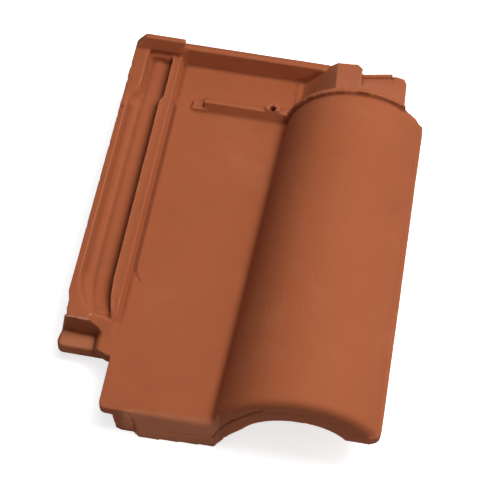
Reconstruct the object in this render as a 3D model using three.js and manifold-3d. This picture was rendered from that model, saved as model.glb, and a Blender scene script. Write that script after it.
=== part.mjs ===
// Interlocking single-roll clay roof tile, pressed in one piece.
// Millimetres. X runs across the tile from the side lock to the roll, Y up the slope
// from the tail to the head, Z up. While it is built, z = 0 is the face of the pan.
import * as THREE from 'three';
import { mergeVertices } from 'three/addons/utils/BufferGeometryUtils.js';
import Module from 'manifold-3d';

const wasm = await Module();
wasm.setup();
const { Manifold, Mesh } = wasm;

// ---- overall ----
const tileWidth = 276;          // side lock's free edge to the roll's free edge
const tileLength = 378;         // tail to the back of the head upstand
const bodyThickness = 11;       // pan and side lock
const restDepth = 38;           // face of the pan down to the soles of apron and nibs

// ---- pan ----
const panLeft = 46;             // free edge of the pan at the tail
const tailCornerRadius = 6.5;
const slabEdge = 1;             // rounding of the tail edge beside the apron
const noseAtApron = 4.5;        // rounding of the tail edge at the apron's end
const noseAtRoll = 7.5;         // rounding of the tail edge round the roll
const noseSteps = 5;

// ---- roll: a round arch that widens towards the tail ----
const headDepth = 64;            // from the step where the roll's full section ends to the head
const rollInsetHead = 58;       // roll's centre line from its free edge, at the head and the tail
const rollInsetTail = 65;
const rollRadiusHead = 65;
const rollRadiusTail = 72;
const rollCrestHead = 63;       // crest above the pan
const rollCrestTail = 58;
const rollShell = 12;
const rollSteps = 36;
const endSteps = 18;
const endRows = 6;
const valleyFillet = 5;

// ---- the roll's right foot, which covers the next tile's side lock ----
const footTopHead = 32;
const footTopTail = 24;
const footEdge = 2;             // bevel along the free edge
const footClear = 2;            // play between the foot and the next tile's flange
const sideLap = 48;             // the next tile's side lock reaches this far under the roll
const tongueWidth = 6.5;        // tongue that hangs into the next tile's channel
const tongueSideClear = 3;
const tongueSoleClear = 5;
const skirtWidth = 4;
const skirtDepth = 4.5;         // the skirt hangs this far below the foot
const skirtStart = 18;
const tongueEndClear = 3;       // from where the next tile's channel starts to run out

// ---- tail band: apron below the pan, carried round the arch ----
const apronLeft = 81;           // apron's end, where it is widest
const apronLeftTop = 74;
const apronWaist = 27;          // depth at which the apron's end stands out most
const apronDepth = 12;
const apronFlare = 1.5;         // the end splays by this much for each millimetre back
const haunchRun = 12;           // from the apron's heel to the haunch
const lipTop = 9;               // depth at which the apron's face starts to lean out
const lipLeft = 3.6;            // how far the sole's front edge stands out, left and right
const lipRight = 0.9;
const archInset = 66.3;         // arch centre and haunch from the roll's free edge
const archRadius = 48;
const archCrest = 31;
const archSpring = 4;           // height at which the arch starts above the haunch
const haunchInset = 121;
const haunchZ = -13;
const archSole = 11.5;          // underside of the band under the roll's foot
const tailSkew = 0.012;         // the tail runs back a little towards the roll's foot
const partingRadius = 57.8;     // mould joint line round the arch
const partingCrest = 43.2;
const partingToe = -24;         // the line's lower end, above the apron's heel
const partingSpring = -8;
const partingRight = 23.5;
const partingStep = 0.7;        // the band stands out by this much inside the joint line
const returnLeft = 57;          // set-back piece beside the apron's slanted end
const returnFoot = 61;
const returnToe = 3;
const returnBack = 0.8;

// ---- side lock along the left edge ----
const lockStart = 71;           // tail to the lower end of the side lock
const flangeTop = 13;
const flangeFall = 0.6;         // the flange's top falls this much to its edge
const flangeInner = 6.2;
const flangeRun = 2.4;          // horizontal run of the flange's inner face
const flangeSole = 10;
const shelfHeight = 5.6;
const shelfRight = 15.5;
const shelfFall = 0.6;
const channelStep = 2;
const channelFloor = 1;
const channelRight = 27;
const ribLeft = 32.6;
const ribRight = 44.2;
const ribTop = 9;
const ribCrown = 1.2;           // shoulder on each side of the rib's top
const ribHollow = 0.6;
const ribFoot = 47.8;
const taperStart = 119;         // channel and rib start to run out towards the tail
const ribTip = 78;              // and have run out here
const tipFlange = 22.6;
const tipRib = 42;
const headLockLead = 1;         // the flange widens this far ahead of the roll's end
const headLockChange = 4;
const headFlangeInner = 13.5;
const headFlangeTop = 12.3;
const headShift = 3.2;          // channel and rib edge lie further right here

// ---- lower end of the side lock, its lug and the rounded fall beside it ----
const lockSetIn = 2.4;          // the free edge steps in near the lower end
const lockSetInEnd = 97;
const lockSetInRun = 9;
const lockCornerRadius = 8.5;
const endBend = 27;             // here the end edge starts to curve towards the tail
const endBendRadius = 9;
const endInner = 22;
const wallDraft = 0.8;
const endLevel = 35.5;          // here the end's surface has come down to the pan
const fallLeft = 30.4;          // edge above the lug, rounded over to the pan's face
const fallRight = 35.5;
const fallEdge = 4;             // depth of the rounding
const fallFrontLeft = 52.5;     // the front edge turns towards the pan's free edge
const fallFrontRight = 48;
const fallTurn = 43;
const grooveLeft = 28.6;        // narrow groove between lug and fall
const grooveDepth = 4;
const lugLeft = -3.3;
const lugFront = 56;
const lugBack = 88;
const lugTop = -12;
const lugSole = -25;
const lugCornerRadius = 6;
const lugEdge = 3;              // rounded upper edge at the side, and at the front
const lugEdgeFront = 1.2;

// ---- head: riser, water channel, upstand ----
const riserLeft = 75;
const riserTuck = 3;            // riser and upstand run into the closed end by this much
const riserHeight = 8;
const riserLean = 4.5;
const riserCrown = 2.5;
const riserBack = 17;
const headFloor = -1;
const upstandDepth = 12;        // from the foot of the upstand to the head
const upstandLean = 5;
const upstandTop = 16;
const blockLeft = 1.5;
const blockRight = 47;
const blockDepth = 11;
const blockTop = 23;
const blockBevel = 8;           // slant of the block's free end
const blockChamfer = 4;
const stopLeft = 17;            // small step at the head end of the channel
const stopRight = 35.5;
const stopTop = 6.5;
const stopDepth = 3;
const headDraft = 2;            // the head's back face leans by this much

// ---- closed end of the roll, sloping down to the head ----
const collarRise = 1.8;         // step up from the roll to the collar
const collarReach = 2;          // the collar stands out past the closed end's right side
const collarLength = 3.5;
const endInset = 20;            // right side of the closed end, from the roll's free edge
const endWidth = 99;
const endHaunch = 8;            // solid clay at the foot of its left flank
const endFlankRun = 24;
const endFlankTop = 10;
const bossInset = 9.4;          // boss from the flank's upper end, at the head
const bossRun = 20;             // its left side slopes out by this much
const bossDrop = 18;
const bossSkew = 2.7;           // its left edge lies further right at the collar
const bossWidth = 23.9;
const bossTop = 24;
const bossTilt = 2.4;           // its top falls by this much to the left, at the head
const bossCorner = 9.5;         // chamfered corner towards the next tile
const bossCornerRun = 5;
const endClear = 3;             // right of the boss it ends this far ahead of the next block
const endSaddle = 9.5;          // ramp beside the boss, at the head
const endTopRight = 23.8;       // and at its right side
const endEdge = 4;
const endRim = 2.2;             // rim along the upper edge right of the boss
const endRimDepth = 3;
const endRimShort = 14;         // the rim stops this far from the right side
const endWall = 8;              // right-hand wall of the closed end
const endShell = 12;

// ---- hanging nibs ----
const nibWidth = 32;
const nibInset = 35;            // face that hooks over the batten, from the head
const nibDepth = 15;
const nibLean = 5;
const nibPanCentre = 92;
const nibRollInset = 86;        // nib under the closed end, from the roll's free edge

// ---- nail hole and pad on the riser ----
const nailDiameter = 5;
const nailInset = 21.5;         // from the riser's right end
const nailBack = 8;             // from the roll's end towards the head
const nailBossRadius = 8;
const nailBossTop = 10.6;
const nailBossDraft = 1.2;
const padWidth = 11.5;          // low pad at the riser's left end
const padDepth = 10;
const padHeight = 2;
const nailSegments = 16;

const overlap = 1;              // how far joined volumes run into each other

// ---- places that follow from these sizes ----
const rollEnd = tileLength - headDepth;
const rollCentreHead = tileWidth - rollInsetHead;
const rollCentreTail = tileWidth - rollInsetTail;
const footUnder = flangeTop + footClear;
const footInner = tileWidth - sideLap + channelRight - tongueSideClear;
const tongueSole = channelFloor + tongueSoleClear;
const tongueStart = taperStart + tongueEndClear;
const skirtSole = footUnder - skirtDepth;
const archX = tileWidth - archInset;
const haunchX = tileWidth - haunchInset;
const apronHeel = haunchX - haunchRun;
const headLockStart = rollEnd - headLockLead;
const upstandFoot = tileLength - upstandDepth;
const blockFront = tileLength - blockDepth;
const endRight = tileWidth - endInset;
const endLeft = endRight - endWidth;
const endHollowLeft = endLeft + endHaunch;
const endFlankFoot = endLeft + endFlankRun;
const bossRight = endFlankFoot + bossInset + bossWidth;
const endCut = blockFront - endClear;
const endRimRight = endRight - endRimShort;
const riserRight = endLeft + riserTuck;
const upstandRight = endFlankFoot + riserTuck;
const nibFront = tileLength - nibInset;
const nibRollCentre = tileWidth - nibRollInset;
const nailX = riserRight - nailInset;
const nailY = rollEnd + nailBack;

// ---------- building tools ----------
const lerp = THREE.MathUtils.lerp;

function solid(geometry) {
  const bare = geometry.clone();
  bare.deleteAttribute('normal');
  bare.deleteAttribute('uv');
  const merged = mergeVertices(bare, 1e-4);
  return new Manifold(new Mesh({
    numProp: 3,
    vertProperties: new Float32Array(merged.attributes.position.array),
    triVerts: new Uint32Array(merged.index.array),
  }));
}

function signedVolume(points, faces) {
  return faces.reduce(
    (sum, [a, b, c]) => sum + points[a].dot(points[b].clone().cross(points[c])),
    0,
  );
}

const turnOf = (a, b, c) => (b.x - a.x) * (c.y - a.y) - (b.y - a.y) * (c.x - a.x);

// Triangles that fill a flat outline and keep every one of its points.
function fillOutline(flat) {
  const inward = THREE.ShapeUtils.isClockWise(flat) ? -1 : 1;
  const left = flat.map((_, i) => i);
  const triangles = [];
  const holds = (a, b, c, p) => [[a, b], [b, c], [c, a]].every(
    ([from, to]) => inward * turnOf(from, to, p) >= 0,
  );
  while (left.length > 3) {
    const size = left.length;
    const ear = left.findIndex((_, i) => {
      const near = [left[(i + size - 1) % size], left[i], left[(i + 1) % size]];
      const [a, b, c] = near.map((k) => flat[k]);
      if (inward * turnOf(a, b, c) <= 1e-7) return false;
      return !left.some((k) => !near.includes(k) && holds(a, b, c, flat[k]));
    });
    if (ear < 0) throw new Error('the outline crosses itself');
    triangles.push([left[(ear + size - 1) % size], left[ear], left[(ear + 1) % size]]);
    left.splice(ear, 1);
  }
  triangles.push([...left]);
  return triangles;
}

// Skin over a row of outlines that all have the same number of points.
function loft(rings, plane = ['x', 'z']) {
  const count = rings[0].length;
  const points = rings.flat();
  const faces = [];
  for (let ring = 0; ring + 1 < rings.length; ring += 1) {
    for (let i = 0; i < count; i += 1) {
      const j = (i + 1) % count;
      const a = ring * count + i;
      const b = ring * count + j;
      faces.push([a, b, b + count], [a, b + count, a + count]);
    }
  }
  const last = (rings.length - 1) * count;
  const flatten = (ring) => ring.map((p) => new THREE.Vector2(p[plane[0]], p[plane[1]]));
  fillOutline(flatten(rings[0])).forEach(([a, b, c]) => faces.push([a, c, b]));
  fillOutline(flatten(rings[rings.length - 1])).forEach(
    (face) => faces.push(face.map((i) => i + last)),
  );
  const outward = signedVolume(points, faces) > 0;
  const geometry = new THREE.BufferGeometry().setFromPoints(points);
  geometry.setIndex(faces.flatMap((f) => (outward ? f : [f[0], f[2], f[1]])));
  return solid(geometry);
}

// A profile of [x, z] pairs run along Y, or of [y, z] pairs run along X.
const alongY = (profile, from, to) => loft(
  [from, to].map((y) => profile.map(([x, z]) => new THREE.Vector3(x, y, z))),
);
const alongX = (profile, from, to) => loft(
  [from, to].map((x) => profile.map(([y, z]) => new THREE.Vector3(x, y, z))),
  ['y', 'z'],
);
// A plan outline of [x, y] pairs between two heights.
const upright = (plan, low, high) => loft(
  [low, high].map((z) => plan.map(([x, y]) => new THREE.Vector3(x, y, z))),
  ['x', 'y'],
);

const join = (...parts) => Manifold.union(parts);

// Points of a quarter round about a centre, from one angle to another in quarter turns.
function corner(cx, cy, radius, fromQuarter, toQuarter, steps = 5) {
  return Array.from({ length: steps + 1 }, (_, i) => {
    const turn = (lerp(fromQuarter, toQuarter, i / steps) * Math.PI) / 2;
    return [cx + radius * Math.cos(turn), cy + radius * Math.sin(turn)];
  });
}

// ---------- roll and pan ----------
function rollAt(y) {
  const share = y / rollEnd;
  const radius = lerp(rollRadiusTail, rollRadiusHead, share);
  return {
    x: lerp(rollCentreTail, rollCentreHead, share),
    z: lerp(rollCrestTail, rollCrestHead, share) - radius,
    radius,
  };
}

// Arc of a circle from the height it leaves on the left to the height it meets on the right.
function arch(circle, radius, leftHeight, rightHeight) {
  const from = Math.PI - Math.asin((leftHeight - circle.z) / radius);
  const to = Math.asin((rightHeight - circle.z) / radius);
  return Array.from({ length: rollSteps + 1 }, (_, i) => {
    const turn = lerp(from, to, i / rollSteps);
    return [circle.x + radius * Math.cos(turn), circle.z + radius * Math.sin(turn)];
  });
}

// Points of a face: where they are across the tile and which way the clay ends there.
const still = ([x, z]) => ({ x, z, outX: 0, outZ: 0 });

// Upper face from the left edge over the pan, the valley and the roll to the free edge.
function upperFace(y, left) {
  const circle = rollAt(y);
  const reach = circle.radius + valleyFillet;
  const rise = valleyFillet - circle.z;
  const filletX = circle.x - Math.sqrt(reach * reach - rise * rise);
  const steep = Math.atan2(circle.z - valleyFillet, circle.x - filletX);
  const fillet = [0, 0.35, 0.7].map((share) => {
    const turn = lerp(-Math.PI / 2, steep, share);
    const [outX, outZ] = [-Math.cos(turn), -Math.sin(turn)];
    return { x: filletX - valleyFillet * outX, z: valleyFillet * (1 - outZ), outX, outZ };
  });
  const touch = circle.z + (rise * circle.radius) / reach;
  const footTop = lerp(footTopTail, footTopHead, y / rollEnd);
  const roll = arch(circle, circle.radius, touch, footTop).map(([x, z]) => ({
    x,
    z,
    outX: (x - circle.x) / circle.radius,
    outZ: (z - circle.z) / circle.radius,
  }));
  return [
    ...left.map((x) => ({ x, z: 0, outX: 0, outZ: 1 })),
    ...fillet,
    ...roll,
    { x: tileWidth, z: footTop - footEdge, outX: 1, outZ: 0 },
  ];
}

// Radius of the rounding along the tail edge.
function noseAt(x) {
  if (x < apronLeftTop) return slabEdge;
  const valley = rollCentreTail - rollRadiusTail;
  return lerp(noseAtApron, noseAtRoll, Math.min((x - apronLeftTop) / (valley - apronLeftTop), 1));
}

const skewed = (x, y) => y + tailSkew * Math.max(x - apronLeft, 0) * Math.max(0, 1 - y / rollEnd);

// One outline of the body at a stage of the nose's quarter turn, or behind the nose.
function bodyRing(face, turn, behind = 0) {
  return face.map(({ x, z, outX, outZ }) => {
    const radius = noseAt(x);
    const fall = radius * (1 - Math.sin(turn));
    const y = behind || radius * (1 - Math.cos(turn));
    const inset = behind ? 0 : fall;
    return new THREE.Vector3(x - outX * inset, skewed(x, y), z - outZ * inset);
  });
}

const noseTurns = Array.from({ length: noseSteps + 1 }, (_, i) => ((i / noseSteps) * Math.PI) / 2);

function panAndRoll() {
  const left = [panLeft, apronLeftTop - slabEdge, apronLeftTop + slabEdge];
  const outline = (y) => {
    const circle = rollAt(y);
    const inner = arch(circle, circle.radius - rollShell, -bodyThickness, footUnder);
    return [
      still([panLeft, -bodyThickness]),
      ...inner.slice(0, -1).map(still),
      still([footInner, footUnder]),
      { x: tileWidth, z: footUnder, outX: 1, outZ: 0 },
      ...upperFace(y, left).reverse(),
    ];
  };
  const body = loft([
    ...noseTurns.map((turn) => bodyRing(outline(0), turn)),
    bodyRing(outline(rollEnd / 2), 0, rollEnd / 2),
    bodyRing(outline(rollEnd), 0, rollEnd),
  ]);
  const cutCorner = upright([
    [panLeft - overlap, -overlap],
    [panLeft + tailCornerRadius, -overlap],
    ...corner(panLeft + tailCornerRadius, tailCornerRadius, tailCornerRadius, 3, 2),
    [panLeft - overlap, tailCornerRadius],
  ], -restDepth - overlap, overlap);
  return body.subtract(cutCorner);
}

// Underside of the band from the apron's heel up the haunch, over the arch to the foot.
function bandUnderside() {
  const circle = { x: archX, z: archCrest - archRadius };
  return [
    [apronHeel, -restDepth],
    [haunchX, haunchZ],
    ...arch(circle, archRadius, archSpring, archSole),
  ];
}

function tailBand() {
  const outline = [
    still([apronLeft - overlap, -restDepth]),
    ...bandUnderside().map(still),
    { x: tileWidth, z: archSole, outX: 1, outZ: 0 },
    ...upperFace(0, [apronLeftTop]).reverse(),
    still([apronLeft, -apronWaist]),
  ];
  const splay = (ring) => ring.map((p) => (
    p.x > apronLeft ? p : new THREE.Vector3(p.x - apronFlare * Math.min(p.y, returnBack), p.y, p.z)
  ));
  const rings = noseTurns.map((turn) => splay(bodyRing(outline, turn)));
  const apron = loft([...rings, splay(bodyRing(outline, 0, apronDepth))]);
  const returnPiece = alongY([
    [returnLeft, -bodyThickness + overlap],
    [returnFoot - overlap, -restDepth + returnToe],
    [returnFoot + returnToe, -restDepth],
    [apronLeft, -restDepth],
    [apronLeft, -bodyThickness + overlap],
  ], returnBack, apronDepth);
  return join(apron, apronLip(), returnPiece);
}

// The apron's face leans out towards its sole, more so at the free end.
function apronLip() {
  const section = (lean, places) => {
    const share = (apronWaist - lipTop) / (restDepth - lipTop);
    const [top, waist, sole, back] = places;
    return [
      [top, 0, -lipTop],
      [waist, -lean * share, -apronWaist],
      [sole, -lean, -restDepth],
      [back[0], overlap, -restDepth],
      [back[1], overlap, -apronWaist],
      [back[2], overlap, -lipTop],
    ].map(([x, y, z]) => new THREE.Vector3(x, skewed(x, 0) + y, z));
  };
  const haunchAt = (depth) => lerp(haunchX, apronHeel, (depth + haunchZ) / (restDepth + haunchZ));
  const edgeAt = (depth) => lerp(apronLeftTop, apronLeft, depth / apronWaist);
  const right = [haunchAt(lipTop), haunchAt(apronWaist), apronHeel];
  const behind = (lean) => apronFlare * (lean + overlap);
  return loft([
    section(lipLeft, [
      edgeAt(lipTop),
      apronLeft,
      apronLeft - overlap / 2,
      [apronLeft - behind(lipLeft), apronLeft - behind(lipLeft / 2), edgeAt(lipTop) - behind(0)],
    ]),
    section(lipRight, [...right, [right[2], right[1], right[0]]]),
  ], ['y', 'z']);
}

// The band's face stands out slightly inside the line where the mould's halves met.
function partingLedge() {
  const circle = { x: archX, z: partingCrest - partingRadius };
  const right = tileWidth - noseAtRoll;
  const outline = [
    [apronHeel, partingToe],
    ...arch(circle, partingRadius, partingSpring, partingRight),
    [right, partingRight],
    [right, archSole],
    ...bandUnderside().reverse(),
  ];
  return loft([-partingStep, overlap].map((y) => outline.map(
    ([x, z]) => new THREE.Vector3(x, skewed(x, 0) + y, z),
  )));
}

// ---------- side lock ----------
// Section across the side lock, from its free edge to the foot of its rib.
function lockLine(flange, top, shift) {
  const wallFoot = flange + flangeRun;
  const shelf = Math.max(shelfRight, wallFoot + channelStep / 4);
  const rib = ribLeft + shift;
  return [
    [0, top - flangeFall],
    [flange, top],
    [wallFoot, shelfHeight],
    [shelf, shelfHeight - shelfFall],
    [shelf + channelStep, channelFloor],
    [channelRight + shift, channelFloor],
    [rib, ribTop - ribHollow],
    [rib + ribCrown, ribTop],
    [(rib + ribCrown + ribRight) / 2, ribTop - ribHollow],
    [ribRight, ribTop],
    [ribFoot, 0],
  ];
}

// Height of the plain slope that is left where channel and rib have run out.
const slopeHeight = (x, foot) => (
  flangeTop * THREE.MathUtils.clamp((foot - x) / (foot - tipFlange), 0, 1)
);
const tipPlaces = [0, 0.1, 0.22, 0.3, 0.92, 0.97, 1.04, 1.06, 1.09];

// Channel and rib run out towards the tail: their edges draw together, then they level out.
function taperedLine(share) {
  const tip = [0, ...tipPlaces.map((place) => lerp(tipFlange, tipRib, place)), ribFoot];
  return lockLine(flangeInner, flangeTop, 0).map(([x, z], i) => {
    const level = i === 0 ? flangeTop - flangeFall : slopeHeight(tip[i], ribFoot);
    return [lerp(x, tip[i], share), lerp(z, level, share ** 3)];
  });
}

// The lower end's edge runs straight across and then curves towards the tail.
function endLine(x) {
  const into = THREE.MathUtils.clamp(x - endBend, 0, endBendRadius);
  return lockStart - endBendRadius + Math.sqrt(endBendRadius ** 2 - into ** 2);
}

// Upper face beside the lug: level with the pan, then rounded over down to the lug.
function fallLine() {
  const edge = fallLeft + overlap / 2;
  const low = lugTop - overlap / 2;
  return [
    [0, low],
    [endInner, low],
    [(endInner + fallLeft) / 2, low],
    [fallLeft, low],
    ...[1, 0.66, 0.33, 0].map((share) => [
      lerp(fallRight, edge, share),
      -fallEdge * share ** 2,
    ]),
    [lerp(fallRight, ribFoot, 1 / 3), 0],
    [lerp(fallRight, ribFoot, 2 / 3), 0],
    [ribFoot, 0],
  ];
}

function sideLock() {
  const closed = (upper, sole, y) => [
    ...upper.map(([x, z]) => new THREE.Vector3(x, y(x), z)),
    ...sole.map(([x, z]) => new THREE.Vector3(x, y(x), z)),
  ];
  const sole = [
    [ribFoot, -bodyThickness],
    [shelfRight, channelFloor - bodyThickness],
    [flangeSole, channelFloor - bodyThickness],
    [0, flangeTop - bodyThickness],
  ];
  const lowSole = sole.map(([x]) => [x, lugTop - overlap]);
  const ring = (upper, y) => closed(upper, sole, () => y);
  const fall = fallLine();
  const endTop = fall.map(([x]) => [x, slopeHeight(x, endLevel)]);
  const taper = (share, under) => closed(
    taperedLine(share ** 2),
    under,
    () => lerp(taperStart, ribTip, share),
  );
  const overLug = (taperStart - lugBack) / (taperStart - ribTip);
  const stepUp = overlap / (taperStart - ribTip);
  const head = lockLine(headFlangeInner, headFlangeTop, headShift);
  const lock = loft([
    closed(fall, lowSole, () => fallFrontRight - overlap),
    closed(fall, lowSole, (x) => endLine(x) - wallDraft),
    closed(endTop, lowSole, endLine),
    ...[1, (1 + overLug) / 2, overLug].map((share) => taper(share, lowSole)),
    ...[overLug - stepUp, 0.58, 0.42, 0.22, 0].map((share) => taper(share, sole)),
    ring(lockLine(flangeInner, flangeTop, 0), headLockStart),
    ring(head, headLockStart + headLockChange),
    ring(head, tileLength - headDraft),
  ]);
  const below = lugFront - 2 * lockCornerRadius;
  const cornerX = lockSetIn + lockCornerRadius;
  const edgeCut = upright([
    [-overlap, below],
    [cornerX, below],
    ...corner(cornerX, lockStart + lockCornerRadius, lockCornerRadius, 3, 2),
    [lockSetIn, lockSetInEnd - lockSetInRun],
    [0, lockSetInEnd],
    [-overlap, lockSetInEnd],
  ], lugTop - 2 * overlap, flangeTop + overlap);
  const frontCut = upright([
    [-overlap, below],
    [-overlap, lugFront + lugEdgeFront],
    [fallLeft, lugFront + lugEdgeFront],
    [(fallLeft + fallRight) / 2, fallFrontLeft],
    [fallTurn, fallFrontRight],
    [ribFoot + overlap, fallFrontRight],
    [ribFoot + overlap, below],
  ], -restDepth, overlap);
  return lock.subtract(edgeCut).subtract(frontCut);
}

function lug() {
  const outline = (side, front, z) => [
    ...corner(
      lugLeft + lugCornerRadius,
      lugFront + lugCornerRadius,
      lugCornerRadius,
      2,
      3,
    ).map(([x, y], i, all) => [
      x + side * (1 - i / (all.length - 1)),
      y + (front * i) / (all.length - 1),
    ]),
    [ribFoot - overlap, lugFront + front],
    [ribFoot - overlap, lugBack],
    [lugLeft + side, lugBack],
  ].map(([x, y]) => new THREE.Vector3(x, y, z));
  const block = loft([
    outline(0, 0, lugSole),
    outline(0, 0, lugTop - lugEdge),
    outline(lugEdge, lugEdgeFront, lugTop),
  ], ['x', 'y']);
  const groove = upright([
    [grooveLeft, lugFront - lugCornerRadius],
    [grooveLeft, lockStart - overlap],
    [fallLeft + overlap / 2, lockStart - overlap],
    [fallLeft + overlap / 2, lugFront - lugCornerRadius],
  ], lugTop - grooveDepth, lugTop + overlap);
  return { block, groove };
}

// ---------- head ----------
function headPlate() {
  const floor = alongX([
    [rollEnd - overlap, -bodyThickness],
    [rollEnd - overlap, 0],
    [rollEnd, 0],
    [rollEnd + riserBack, headFloor],
    [tileLength - headDraft, headFloor],
    [tileLength - headDraft, -bodyThickness],
  ], panLeft - overlap, endHollowLeft);
  const riser = alongX([
    [rollEnd, headFloor - overlap],
    [rollEnd, 0],
    [rollEnd + riserLean, riserHeight],
    [rollEnd + riserLean + riserCrown, riserHeight],
    [rollEnd + riserBack, headFloor],
    [rollEnd + riserBack, headFloor - overlap],
  ], riserLeft, riserRight);
  const upstand = alongX([
    [upstandFoot, -bodyThickness],
    [upstandFoot, headFloor],
    [upstandFoot + upstandLean, upstandTop],
    [tileLength, upstandTop],
    [tileLength - headDraft, -bodyThickness],
  ], stopLeft, upstandRight);
  const blockSide = (top, x) => [
    [blockFront, channelFloor - bodyThickness],
    [blockFront, headFlangeTop],
    [blockFront + (upstandLean * (top - headFlangeTop)) / (blockTop - headFlangeTop), top],
    [tileLength - overlap, top],
    [tileLength, top - blockChamfer],
    [tileLength - headDraft, channelFloor - bodyThickness],
  ].map(([y, z]) => new THREE.Vector3(x, y, z));
  const block = loft([
    blockSide(headFlangeTop + overlap, blockLeft),
    blockSide(blockTop, blockLeft + blockBevel),
    blockSide(blockTop, blockRight),
  ], ['y', 'z']);
  const stop = upright([
    [stopLeft, blockFront - stopDepth],
    [stopRight, blockFront - stopDepth],
    [stopRight, blockFront + overlap],
    [stopLeft, blockFront + overlap],
  ], 0, stopTop);
  const pad = upright([
    [riserLeft - padWidth, rollEnd],
    [riserLeft + riserCrown, rollEnd],
    [riserLeft + riserCrown, rollEnd + padDepth],
    [riserLeft - padWidth + overlap, rollEnd + padDepth],
  ], -overlap, padHeight);
  return join(floor, riser, upstand, block, stop, pad);
}

// The ramp that closes the roll: from a collar round the roll down to the head's edge.
// Right of the boss it is cut short, and a wall closes it towards the next tile.
const endCollar = rollEnd + collarLength;
const collarRight = endRight + collarReach;
const collarArc = { ...rollAt(rollEnd), radius: rollAt(rollEnd).radius + collarRise };
const collarHeight = (x) => (
  collarArc.z + Math.sqrt(Math.max(collarArc.radius ** 2 - (x - collarArc.x) ** 2, 0))
);

// Height of the ramp where it reaches the head.
function endHeight(x) {
  const { smoothstep, mapLinear } = THREE.MathUtils;
  const edge = endRight - endEdge;
  if (x < endFlankFoot) {
    return lerp(headFloor, endFlankTop, smoothstep(x, endLeft, endFlankFoot));
  }
  if (x < bossRight) return mapLinear(x, endFlankFoot, bossRight, endFlankTop, endSaddle);
  const plain = mapLinear(x, bossRight, edge, endSaddle, endTopRight);
  const into = Math.min(Math.max(x - edge, 0), endEdge);
  return plain - endEdge + Math.sqrt(endEdge ** 2 - into ** 2);
}

// Height of the ramp anywhere between collar and head.
const rampHeight = (x, y) => lerp(
  collarHeight(x),
  endHeight(x),
  (y - endCollar + overlap) / (tileLength - endCollar + overlap),
);

// Outlines of the ramp at the collar and at the head, with a given underside.
function rampRings(underside) {
  const across = Array.from({ length: endSteps + 1 }, (_, i) => (
    lerp(endHollowLeft, endRight - endEdge, i / endSteps)
  ));
  const round = [0.5, 0.85, 1].map((share) => endRight - endEdge + share * endEdge);
  const places = [endLeft, (endLeft + endHollowLeft) / 2, ...across, ...round];
  const rows = Array.from({ length: endRows + 1 }, (_, i) => (
    lerp(endCollar - overlap, tileLength, i / endRows)
  ));
  return rows.map((y) => {
    const line = places.map((x) => [x, rampHeight(x, y)]);
    return [...line, ...underside(line)].map(([x, z]) => new THREE.Vector3(x, y, z));
  });
}

// Block on the ramp, flush with the collar; its left side slopes out.
function boss() {
  const section = (y, left, leftTop, rightTop) => [
    [left - bossRun, leftTop - bossDrop],
    [left, leftTop],
    [bossRight, rightTop],
    [bossRight, rightTop - bossDrop],
  ].map(([x, z]) => new THREE.Vector3(x, y, z));
  const back = bossRight - bossWidth;
  const front = back + bossSkew;
  return loft([
    section(endCollar - overlap, front, collarHeight(front), collarHeight(bossRight)),
    section(tileLength, back, bossTop - bossTilt, bossTop),
  ]);
}

function rollEndPiece() {
  const thin = (z, x) => (
    x > endHollowLeft ? Math.max(z - endShell, -bodyThickness) : -bodyThickness
  );
  const shell = (line) => {
    const inner = endRight - endWall;
    const inside = line.filter(([x]) => x < inner).map(([x, z]) => [x, thin(z, x)]).reverse();
    const top = Math.max(inside[0][1], footUnder + overlap);
    return [[endRight, footUnder], [inner, footUnder], [inner, top], ...inside];
  };
  const collar = alongY([
    ...arch(collarArc, collarArc.radius, headFloor, collarHeight(collarRight)),
    [collarRight, collarHeight(collarRight) - endShell],
    ...arch(
      collarArc,
      collarArc.radius - endShell,
      -bodyThickness,
      collarHeight(collarRight) - endShell - endWall,
    ).reverse(),
  ], rollEnd - overlap, endCollar);
  const rimPlaces = [0, 1 / 3, 2 / 3, 1].map((share) => (
    lerp(bossRight - overlap, endRimRight, share)
  ));
  const rim = loft(rimPlaces.map((x) => [
    [endCut - endRimDepth, rampHeight(x, endCut) - endRimDepth],
    [endCut - endRimDepth, rampHeight(x, endCut) + endRim],
    [endCut, rampHeight(x, endCut) + endRim],
    [endCut, rampHeight(x, endCut) - endRimDepth],
  ].map(([y, z]) => new THREE.Vector3(x, y, z))), ['y', 'z']);
  const beyond = tileLength + overlap;
  const cut = upright([
    [bossRight, endCut],
    [collarRight + overlap, endCut],
    [collarRight + overlap, beyond],
    [bossRight - bossCornerRun, beyond],
    [bossRight - bossCornerRun, tileLength],
    [bossRight, tileLength - bossCorner],
  ], -restDepth, collarArc.radius);
  return join(collar, loft(rampRings(shell)), boss(), rim).subtract(cut);
}

// ---------- underside ----------
function coverLock() {
  const tongue = alongY([
    [footInner - tongueWidth, tongueSole + ribCrown],
    [footInner - tongueWidth, footUnder + bodyThickness / 2],
    [footInner + overlap, footUnder + bodyThickness / 2],
    [footInner + overlap, tongueSole],
    [footInner - tongueWidth + ribCrown, tongueSole],
  ], tongueStart, rollEnd - skirtStart / 2);
  const skirt = alongY([
    [tileWidth - skirtWidth, skirtSole],
    [tileWidth - skirtWidth - overlap, footUnder + overlap],
    [tileWidth, footUnder + overlap],
    [tileWidth, skirtSole],
  ], skirtStart, rollEnd - skirtStart / 2);
  return join(tongue, skirt);
}

// A block that hangs down to the level of the apron's sole and hooks over the batten.
function nib(centre, top) {
  const back = nibFront + nibDepth + nibLean;
  return alongX([
    [nibFront, -restDepth],
    [nibFront, top],
    [back, top],
    [nibFront + nibDepth, -restDepth],
  ], centre - nibWidth / 2, centre + nibWidth / 2);
}

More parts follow.
